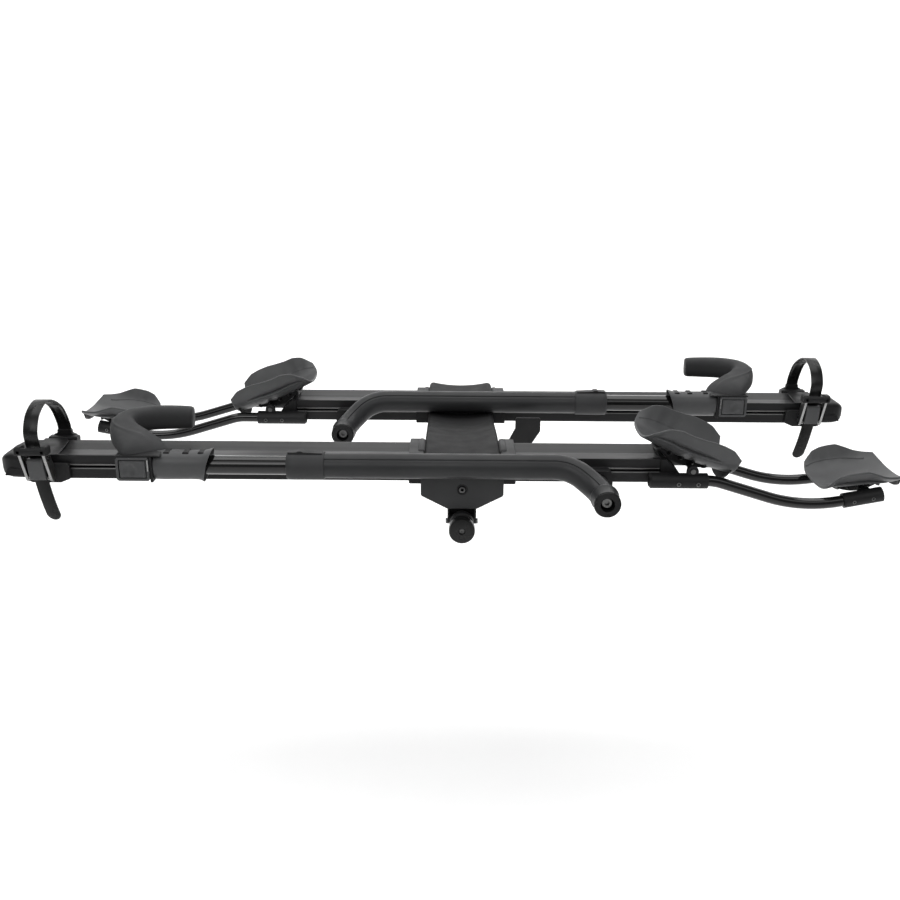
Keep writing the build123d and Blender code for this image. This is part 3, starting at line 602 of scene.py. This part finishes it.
# ---------------------------------------------------------------- ends of the tray
def tray_nose(tray):
    """Boat-shaped end plug with a thin skin over the rail's top."""
    stations = (
        (-697, 43.6, 89.8, 131.8), (-712, 43.4, 89.8, 131.6), (-724, 42.0, 90.0, 131.0),
        (-733, 38.5, 91.0, 129.0), (-741, 32.0, 94.0, 125.0), (-746, 24.0, 99.0, 120.0),
        (-748, 15.0, 104.0, 115.0),
    )
    rings = []
    for x, half, low, high in stations:
        mid, tall = (low + high) / 2, (high - low) / 2
        ring = []
        for k in range(64):
            a = 2 * math.pi * k / 64
            ca, sa = math.cos(a), math.sin(a)
            y = math.copysign(abs(ca) ** 0.28, ca) * half
            z = mid + math.copysign(abs(sa) ** 0.28, sa) * tall
            ring.append(to_world(tray, (x, y, z)))
        rings.append(ring)
    obj = loft(f"{tray}_nose", rings, "black_moulding")
    sharp_shade(obj, 50)
    finish_piece(obj, "black_moulding", "frame", f"{tray}_tray_nose")
    skin = [(-700, -43), (-700, 43), (-664, 43), (-656, 30), (-646, -43)]
    cover = prism("nose_skin", tray, skin, "z", 130.1, 132.0, "black_moulding", 0.7)
    finish_piece(cover, "black_moulding", "frame")
    lug = [(-735, 96), (-705, 96), (-705, 108), (-730, 108)]
    panel = prism("nose_panel", tray, lug, "y", -44.6, -42, "black_moulding", 1.0)
    finish_piece(panel, "black_moulding", "frame")


def cradle_screws(tray):
    """Screws in both faces of the yoke and of the sloped rod clamps."""
    slope = math.atan2(25, 124)
    for n, x in enumerate((343, 374)):
        screw(f"yoke_screw_{n}", tray, (x, -67.2, 97), (0, -1, 0), 3.6, 1.4, "zinc_steel", "frame")
        screw(f"yoke_screw_back_{n}", tray, (x, 67.2, 97), (0, 1, 0), 3.6, 1.4, "zinc_steel", "frame")
    for n, along in enumerate((-16, 14)):
        x = 641 + REACH[tray] + along * math.cos(slope)
        z = 72 + along * math.sin(slope)
        screw(f"clamp_screw_{n}", tray, (x, -66.6, z), (0, -1, 0), 3.2, 1.2, "zinc_steel", "frame")
        screw(f"clamp_screw_back_{n}", tray, (x, 66.6, z), (0, 1, 0), 3.2, 1.2, "zinc_steel", "frame")


def rail_highlight_beads(tray):
    """Light steel beads above and below the slot in the rail's front that paint the highlight lines along the
    slot's edges.
    """
    for n, z in enumerate((114.4, 108.2)):
        # Painted highlight: these bright beads stand in for light caught along the slot's edges, not for
        # rolled edges.
        highlight_bead = turned(f"rail_bead_{n}", tray, (-696, -41.0, z), (1, 0, 0),
                      [(0, 1.3), (1012, 1.3)], "zinc_steel", 16)
        finish_piece(highlight_bead, "zinc_steel", "frame")


def saddle_blocks(tray):
    """Rounded moulded blocks that hold the tray down, beside the beam cover."""
    for n, side in enumerate((-1, 1)):
        x0, x1 = sorted((side * 62.4, side * 86))
        outline = [(-45.6, 129), (-45.6, 134), (-42, 137.5), (34, 137.5), (45.6, 134), (45.6, 129)]
        top = prism(f"saddle_top_{n}", tray, outline, "x", x0, x1, "grey_moulding", 1.6)
        if n:
            finish_piece(top, "grey_moulding", "frame")
        else:
            finish_piece(top, "grey_moulding", "frame", f"{tray}_tray_saddle")
        lobe = turned(f"saddle_lobe_{n}", tray, (side * 66.5, -30, 134), (0, 1, 0),
                      [(0, 3.0), (2, 5.4), (5, 6.4), (60, 6.4), (63, 5.4), (65, 3.0)], "grey_moulding", 40)
        finish_piece(lobe, "grey_moulding", "frame")
        for m, y in enumerate((-1, 1)):
            y0, y1 = sorted((y * 42.6, y * 46.2))
            wall = [(x0, 135), (x0, 92), (x0 + 3, 87.6), (x1 - 3, 87.6), (x1, 92), (x1, 135)]
            cheek = prism(f"saddle_cheek_{n}{m}", tray, wall, "y", y0, y1, "black_moulding", 1.2)
            finish_piece(cheek, "black_moulding", "frame")
    sole = [(-86, 90.4), (-86, 89), (-84, 87.6), (84, 87.6), (86, 89), (86, 90.4)]
    under = prism("saddle_sole", tray, sole, "y", -46, 46, "black_moulding", 0.6)
    finish_piece(under, "black_moulding", "frame")


# ---------------------------------------------------------------- arm
CREASE = 49.0            # crease along the arm, degrees above its front


def arm(tray):
    """Arm tube with a raised crease along its upper front, open at the hook end."""
    z = ARM_Z + RISE[tray]
    line = rounded_path([(-262, ARM_Y, z), (170, ARM_Y, z), (PIVOT_X, -108, PIVOT_Z),
                         (PIVOT_X, -154, PIVOT_Z)], (66, 56))
    outer, inner = [], []
    for centre, across, up in frames_along(line, (0, 0, 1)):
        ring, bore = [], []
        for k in range(180):
            a = 2 * math.pi * k / 180
            off = (math.degrees(a) - CREASE + 180) % 360 - 180
            radius = 20.5 if off > 0 else 20.0 - 0.9 * math.exp(-(off / 11) ** 2)
            radius -= 0.5 * min(1.0, max(0.0, off - 20) / 60)
            way = across * math.cos(a) + up * math.sin(a)
            ring.append(to_world(tray, centre + way * radius))
            bore.append(to_world(tray, centre + way * 17.6))
        outer.append(ring)
        inner.append(bore)
    obj = loft(f"{tray}_arm_skin", outer + inner[::-1] + [outer[0]], "grey_powder_coat", caps=False)
    sharp_shade(obj, 25)
    finish_piece(obj, "grey_powder_coat", f"{tray}_arm", f"{tray}_arm_tube")
    boss = turned("arm_boss", tray, (PIVOT_X, -139, PIVOT_Z), (0, 1, 0),
                  [(0, 8.2), (0, 14), (76, 14), (76, 8.2), (0, 8.2)], "grey_powder_coat")
    finish_piece(boss, "grey_powder_coat", f"{tray}_arm")
    sleeve = turned("arm_ferrule", tray, (PIVOT_X, -153.8, PIVOT_Z), (0, 1, 0),
                    [(0, 19.4), (0, 20.7), (23, 20.9), (26, 22.2), (29, 22.2), (32, 20.6), (32, 19.4),
                     (0, 19.4)],
                    "grey_powder_coat", 80)
    finish_piece(sleeve, "grey_powder_coat", f"{tray}_arm")


def collar(tray):
    """Moulded end sleeve of the arm with a lapped seam and a tab."""
    z = ARM_Z + RISE[tray]
    profile = [(0, 15.4), (0, 21.4), (1.4, 22.6), (10, 22.8), (56, 22.5),
               (58.5, 21.8), (59, 20.2), (14, 20.2), (13, 15.4), (0, 15.4)]
    obj = turned("collar_sleeve", tray, (-275, ARM_Y, z), (1, 0, 0), profile, "grey_moulding", 96)
    finish_piece(obj, "grey_moulding", f"{tray}_arm", f"{tray}_arm_collar")
    tab = [(-273, 0), (-219, 0), (-219, 2.2), (-248, 3.4), (-252, 5.2), (-257, 5.2), (-260, 3.6), (-273, 3.2)]
    lap = prism("collar_tab", tray, [(x, z + 20.6 + h) for x, h in tab], "y", ARM_Y - 9, ARM_Y + 6,
                "black_moulding", 0.7)
    finish_piece(lap, "black_moulding", f"{tray}_arm")


# ---------------------------------------------------------------- hook housing
def housing(tray):
    """Flared sleeve, button frame, seam and clip of the hook's housing."""
    z = ARM_Z + RISE[tray]
    body = f"{tray}_hook"
    outside = (
        (-481, 21.6), (-479, 22.6), (-465, 22.9), (-425, 22.5), (-408, 22.8), (-399, 24.0), (-394, 25.6),
        (-391.5, 26.0), (-391.8, 24.6), (-397, 21.5), (-406, 18.0), (-412, 15.3), (-481, 15.3), (-481, 21.6),
    )
    rings = []
    for x, r in outside:
        lean = max(0.0, min(1.0, (x + 425) / 33.0)) ** 1.6
        ring = []
        for k in range(96):
            a = 2 * math.pi * k / 96
            ca, sa = math.cos(a), math.sin(a)
            power = 0.86 if r > 20 else 1.0
            y = math.copysign(abs(ca) ** power, ca) * r
            h = math.copysign(abs(sa) ** power, sa) * r
            ring.append(to_world(tray, (x - 7 * lean + 7 * lean * sa, ARM_Y - y, z + h)))
        rings.append(ring)
    sleeve = loft(f"{tray}_housing_sleeve", rings, "satin_grey_moulding", caps=False)
    sharp_shade(sleeve, 50)
    finish_piece(sleeve, "satin_grey_moulding", body, f"{tray}_hook_housing")
    frame_box = [(-537, -16), (-534, -19), (-488, -19), (-486, -17),
                 (-486, 17), (-488, 19), (-534, 19), (-537, 16)]
    surround = prism("housing_frame", tray, [(x, z + h) for x, h in frame_box], "y", -95, -56,
                     "satin_grey_moulding")
    recess(surround, Vector((0, -1, 0)), 4.2, 10)
    add_bevel(surround, 0.9)
    finish_piece(surround, "satin_grey_moulding", body)
    seam = [(-485.6, -22), (-481.4, -22), (-481.4, 20), (-485.6, 20)]
    band = prism("housing_seam", tray, [(x, z + h) for x, h in seam], "y", -93.4, -50, "black_moulding", 0.8)
    finish_piece(band, "black_moulding", body)
    clip = [(-488.6, -3), (-486.6, -3), (-486.6, 15), (-488.6, 15)]
    steel = prism("housing_clip", tray, [(x, z + h) for x, h in clip], "y", -95.8, -94, "bright_steel", 0.3)
    finish_piece(steel, "bright_steel", body)
    lid = [(-538, 19.2), (-538, 21.6), (-500, 22.6), (-470, 22.6), (-468, 20.4),
           (-484, 20.2), (-488, 17.6), (-500, 17.6), (-504, 19.2)]
    flange = prism("housing_lid", tray, [(x, z + h) for x, h in lid], "y", -94.5, -62, "black_moulding", 0.7)
    finish_piece(flange, "black_moulding", body)
    # Painted shade: three black blocks on the sleeve's top stand in for the dark of notches; nothing is cut.
    for n, x in enumerate((-462, -432, -408)):
        notch_shade_outline = [(x - 6, z + 19), (x + 6, z + 19), (x + 4, z + 23.6), (x - 4, z + 23.6)]
        notch_shade = prism(f"housing_notch_{n}", tray, notch_shade_outline, "y", -80, -60, "black_moulding", 0.6)
        finish_piece(notch_shade, "black_moulding", body)


def button(tray):
    """Push button with a thumb dent."""
    z = ARM_Z + RISE[tray]
    x0, x1, z0, z1, front, back = -531.6, -491.2, z - 13.6, z + 13.6, -96.2, -89.5
    columns, rows = 56, 38
    bm = bmesh.new()
    grid = []
    for i in range(columns + 1):
        line = []
        for j in range(rows + 1):
            x, h = x0 + (x1 - x0) * i / columns, z0 + (z1 - z0) * j / rows
            rim = min(i, columns - i, j, rows - j)
            edge = {0: 1.6, 1: 0.5, 2: 0.1}.get(rim, 0.0)
            away = math.hypot((x + 517) / 9.5, (h - z) / 9.5)
            line.append(bm.verts.new(to_world(tray, (x, front + edge + 3.0 * math.exp(-away ** 4), h))))
        grid.append(line)
    for a, b in zip(grid, grid[1:]):
        for j in range(rows):
            bm.faces.new((a[j], a[j + 1], b[j + 1], b[j]))
    border = [e for e in bm.edges if e.is_boundary]
    walls = bmesh.ops.extrude_edge_only(bm, edges=border)["geom"]
    for v in (g for g in walls if isinstance(g, bmesh.types.BMVert)):
        v.co.y = (back + TRAY_Y[tray]) * MM
    bmesh.ops.holes_fill(bm, edges=[e for e in bm.edges if e.is_boundary], sides=0)
    obj = mesh_object(f"{tray}_button_cap", bm, "satin_grey_moulding")
    sharp_shade(obj, 50)
    finish_piece(obj, "satin_grey_moulding", f"{tray}_button", f"{tray}_hook_button")


# ---------------------------------------------------------------- end of the beam
LEVER_Z = 18.0           # foot lever's pin
PLATE_FOOT = 46.0        # lower edge of the end plate
PLATE_SCREW = 79.0       # screw in the middle of the end plate
PLATE_Y = -719.2         # seat of that screw


def beam_end():
    """End plate with its screw on a black ring that paints the shade of the screw's recess, the clevis webs
    and the foot lever's barrel and grip.
    """
    outline = [
        (-66.8, 134), (66.8, 134), (66.8, 70), (65.2, 67.4), (26.6, PLATE_FOOT + 1.2), (24.0, PLATE_FOOT),
        (-24.0, PLATE_FOOT), (-26.6, PLATE_FOOT + 1.2), (-65.2, 67.4), (-66.8, 70),
    ]
    plate = prism("end_plate", "rack", outline, "y", -719.4, -715.8, "grey_moulding", 1.0)
    finish_piece(plate, "grey_moulding", "frame", "end_plate")
    lip = [(x * 0.985, z + (1.2 if z < 100 else -1.2)) for x, z in outline]
    rim = prism("end_plate_rim", "rack", lip[2:9], "y", -716, -712.6, "grey_moulding", 0.4)
    finish_piece(rim, "grey_moulding", "frame")
    # Painted shade: a black ring round the screw stands in for the dark of the hole it sits in.
    ring = turned("plate_hole_shade_ring", "rack", (0, PLATE_Y, PLATE_SCREW), (0, -1, 0),
                  [(0, 0.1), (0, 9.2), (0.7, 9.0), (1.0, 8.3), (0.8, 7.0), (0.2, 6.4), (0.2, 0.1)],
                  "black_moulding", 72)
    finish_piece(ring, "black_moulding", "frame")
    screw("plate_screw", "rack", (0, PLATE_Y, PLATE_SCREW), (0, -1, 0), 5.2, 1.6,
          "zinc_steel", "frame", "end_plate_screw")
    screw("grip_screw", "rack", (0, -745.2, LEVER_Z), (0, -1, 0), 4.4, 0.8,
          "zinc_steel", "rear_lever", "rear_grip_screw")
    web = [(-690.4, LEVER_Z - 4), (-687.6, LEVER_Z - 4), (-687.6, 56), (-690.4, 56)]
    for n, (x0, x1) in enumerate(((-23.4, -7), (7, 23.4))):
        side = prism(f"clevis_web_{n}", "rack", web, "x", x0, x1, "black_powder_coat", 0.5)
        finish_piece(side, "black_powder_coat", "frame")
    bridge = [(-696, LEVER_Z + 12.5), (-689, LEVER_Z + 12.5), (-689, 56), (-696, 56)]
    middle = prism("clevis_bridge", "rack", bridge, "x", -20.3, 20.3, "black_powder_coat", 0.5)
    finish_piece(middle, "black_powder_coat", "frame")
    hood = turned("lever_barrel", "rack", (0, -727.4, LEVER_Z + 4), (0, 1, 0),
                  [(0, 16.5), (0.8, 18.6), (3, 19.4), (10, 19.4), (14, 18.6), (17, 16)],
                  "black_powder_coat", 80)
    finish_piece(hood, "black_powder_coat", "rear_lever")
    grip = [(0, 5.2), (0, 6.0), (0, 19.2), (0.5, 20.4), (1.8, 21.0), (15.0, 21.1), (17.2, 20.6), (18.6, 19.8),
            (21.4, 19.0), (21.4, 9.1), (4.4, 9.1), (4.0, 5.2), (0, 5.2)]
    knob = turned("grip_knob", "rack", (0, -748, LEVER_Z), (0, 1, 0), grip, "black_rubber", 96)
    finish_piece(knob, "black_rubber", "rear_lever", "rear_grip")


# ---------------------------------------------------------------- beam cover
COVER_LINE = (           # place along the beam and height of the cover's lips
    (-716, 137), (-690, 137), (-655, 137), (-625, 136), (-590, 133.5), (-540, 128),
    (-480, 120), (-440, 116), (-400, 115.2), (-379.5, 115.2), (-377.5, 143), (-372, 146),
    (-330, 146.5), (-285, 145), (-255, 138), (-236, 124), (-226, 108), (-222, 96),
)
CUTS = ((-716.4, -623.6), (-376.4, -283.6))      # stretches that cross a tray


def cover_stations():
    """Places along the cover, close together, with a pair at each edge of a tray."""
    stations = []
    for (y0, z0), (y1, z1) in zip(COVER_LINE, COVER_LINE[1:]):
        steps = max(2, int(abs(y1 - y0) / 6))
        for k in range(steps):
            t = k / steps
            stations.append((y0 + (y1 - y0) * t, z0 + (z1 - z0) * t))
    stations.append(COVER_LINE[-1])
    for cut in CUTS:
        for edge in cut:
            if edge > COVER_LINE[0][0]:
                z = next(z0 + (z1 - z0) * (edge - y0) / (y1 - y0)
                         for (y0, z0), (y1, z1) in zip(COVER_LINE, COVER_LINE[1:]) if y0 <= edge <= y1)
                stations += [(edge - 0.05, z), (edge + 0.05, z)]
    return sorted(stations)


def beam_cover():
    """Trough-shaped moulding: rounded lips either side of a hollow floor."""
    rows = []
    for y, lip in cover_stations():
        over_tray = any(a < y < b for a, b in CUTS)
        foot = 130.4 if over_tray else 87.4
        foot = min(foot, lip - 6)
        half = [(62.0, foot), (62.0, lip - 9), (61.2, lip - 4.5),
                (59.0, lip - 1.4), (56.0, lip - 0.1), (53.0, lip - 0.3)]
        for k in range(1, 9):
            x = 53.0 * (1 - k / 8)
            half.append((x, lip - 0.3 - 5.6 * (1 - (x / 53.0) ** 2)))
        section = half + [(-x, z) for x, z in reversed(half[:-1])]
        rows.append([Vector((x, y, z)) * MM for x, z in section])
    bm = bmesh.new()
    grid = [[bm.verts.new(p) for p in row] for row in rows]
    for a, b in zip(grid, grid[1:]):
        for j in range(len(a) - 1):
            bm.faces.new((a[j], b[j], b[j + 1], a[j + 1]))
    obj = mesh_object("beam_cover", bm, "cover_moulding")
    up = sum(p.normal.z * p.area for p in obj.data.polygons) > 0
    solid = obj.modifiers.new("skin", "SOLIDIFY")
    solid.thickness = 2.2 * MM
    solid.offset = -1.0 if up else 1.0
    finish_piece(obj, "grey_moulding", "frame", "beam_shroud", "beam_hump")
    sharp_shade(obj, 48)


def make_pieces():
    beam_cover()
    beam_end()
    for tray in TRAYS:
        scoop(tray, "inner_scoop", "inner_chock", (286, 0, 166), 23, 158, 74, INNER_WINGS, 6)
        scoop(tray, "outer_scoop", "outer_chock", (581 + REACH[tray], 0, 81.5), -8.5, 128, 70, OUTER_WINGS, 4)
        hook_pad(tray)
        strap(tray)
        buckle(tray)
        buckle_lever(tray)
        carriage(tray)
        tray_nose(tray)
        cradle_screws(tray)
        rail_highlight_beads(tray)
        saddle_blocks(tray)
        arm(tray)
        collar(tray)
        housing(tray)
        button(tray)


make_pieces()


# ---------------------------------------------------------------- stage
FLOOR_Z = -0.45
FLOOR_HALF = 9.0
WALL_Y, WALL_BEND, WALL_HEIGHT = 1.8, 1.6, 6.0
LIGHTS = (      # name, place, what it faces, size and power
    ("overhead", (0.0, -0.3, 2.4), (0.0, -0.4, 0.0), (3.6, 1.6), 46),
    ("backdrop", (0.0, 1.2, 2.6), (0.0, 3.2, 0.6), (6.0, 1.5), 110),
    ("front", (-0.6, -3.4, 1.9), (0.0, -0.5, 0.1), (2.6, 1.0), 24),
    ("floor_wash", (0.0, -1.6, 1.2), (0.0, -0.6, -0.45), (5.0, 0.5), 10),
)
CAMERA_PLACE = (-0.020, -2.168, 0.627)
CAMERA_PITCH, CAMERA_ROLL = math.radians(18.36), math.radians(0.4)


def make_floor():
    """Floor that bends up into a back wall."""
    mesh = bpy.data.meshes.new("floor")
    bm = bmesh.new()
    rows = [(-FLOOR_HALF, FLOOR_Z), (WALL_Y, FLOOR_Z)]
    for i in range(1, 13):
        a = math.radians(90 * i / 12)
        rows.append((WALL_Y + WALL_BEND * math.sin(a), FLOOR_Z + WALL_BEND * (1 - math.cos(a))))
    rows.append((WALL_Y + WALL_BEND, FLOOR_Z + WALL_HEIGHT))
    verts = [[bm.verts.new((x, y, z)) for x in (-FLOOR_HALF, FLOOR_HALF)] for y, z in rows]
    for a, b in zip(verts, verts[1:]):
        bm.faces.new((a[0], a[1], b[1], b[0]))
    bm.to_mesh(mesh)
    bm.free()
    for poly in mesh.polygons:
        poly.use_smooth = True
    floor = bpy.data.objects.new("floor", mesh)
    bpy.context.collection.objects.link(floor)
    mat, shader = new_material("studio_white", (0.9, 0.9, 0.9), 0.9)
    shader.inputs["Emission Color"].default_value = (1, 1, 1, 1)
    shader.inputs["Emission Strength"].default_value = 0.26
    bump(mat, shader, noise(mat, 60.0), 0.0004)
    mesh.materials.append(mat)


def area_light(name, place, aim, size, power):
    data = bpy.data.lights.new(name, "AREA")
    data.shape = "RECTANGLE"
    data.size, data.size_y = size
    data.energy = power
    light = bpy.data.objects.new(name, data)
    light.location = place
    light.rotation_euler = (Vector(aim) - Vector(place)).to_track_quat("-Z", "Y").to_euler()
    bpy.context.collection.objects.link(light)


def make_light():
    for lamp in LIGHTS:
        area_light(*lamp)
    world = bpy.data.worlds.new("studio")
    world.use_nodes = True
    world.node_tree.nodes["Background"].inputs["Color"].default_value = (1, 1, 1, 1)
    world.node_tree.nodes["Background"].inputs["Strength"].default_value = 0.19
    bpy.context.scene.world = world
    bpy.context.scene.view_settings.view_transform = "Standard"


def make_camera():
    data = bpy.data.cameras.new("camera")
    data.sensor_width = 36.0
    data.lens = 38.5
    cam = bpy.data.objects.new("camera", data)
    cam.matrix_world = (
        Matrix.Translation(CAMERA_PLACE)
        @ Matrix.Rotation(math.pi / 2 - CAMERA_PITCH, 4, "X")
        @ Matrix.Rotation(CAMERA_ROLL, 4, "Z")
    )
    bpy.context.collection.objects.link(cam)
    bpy.context.scene.camera = cam


make_floor()
make_light()
make_camera()
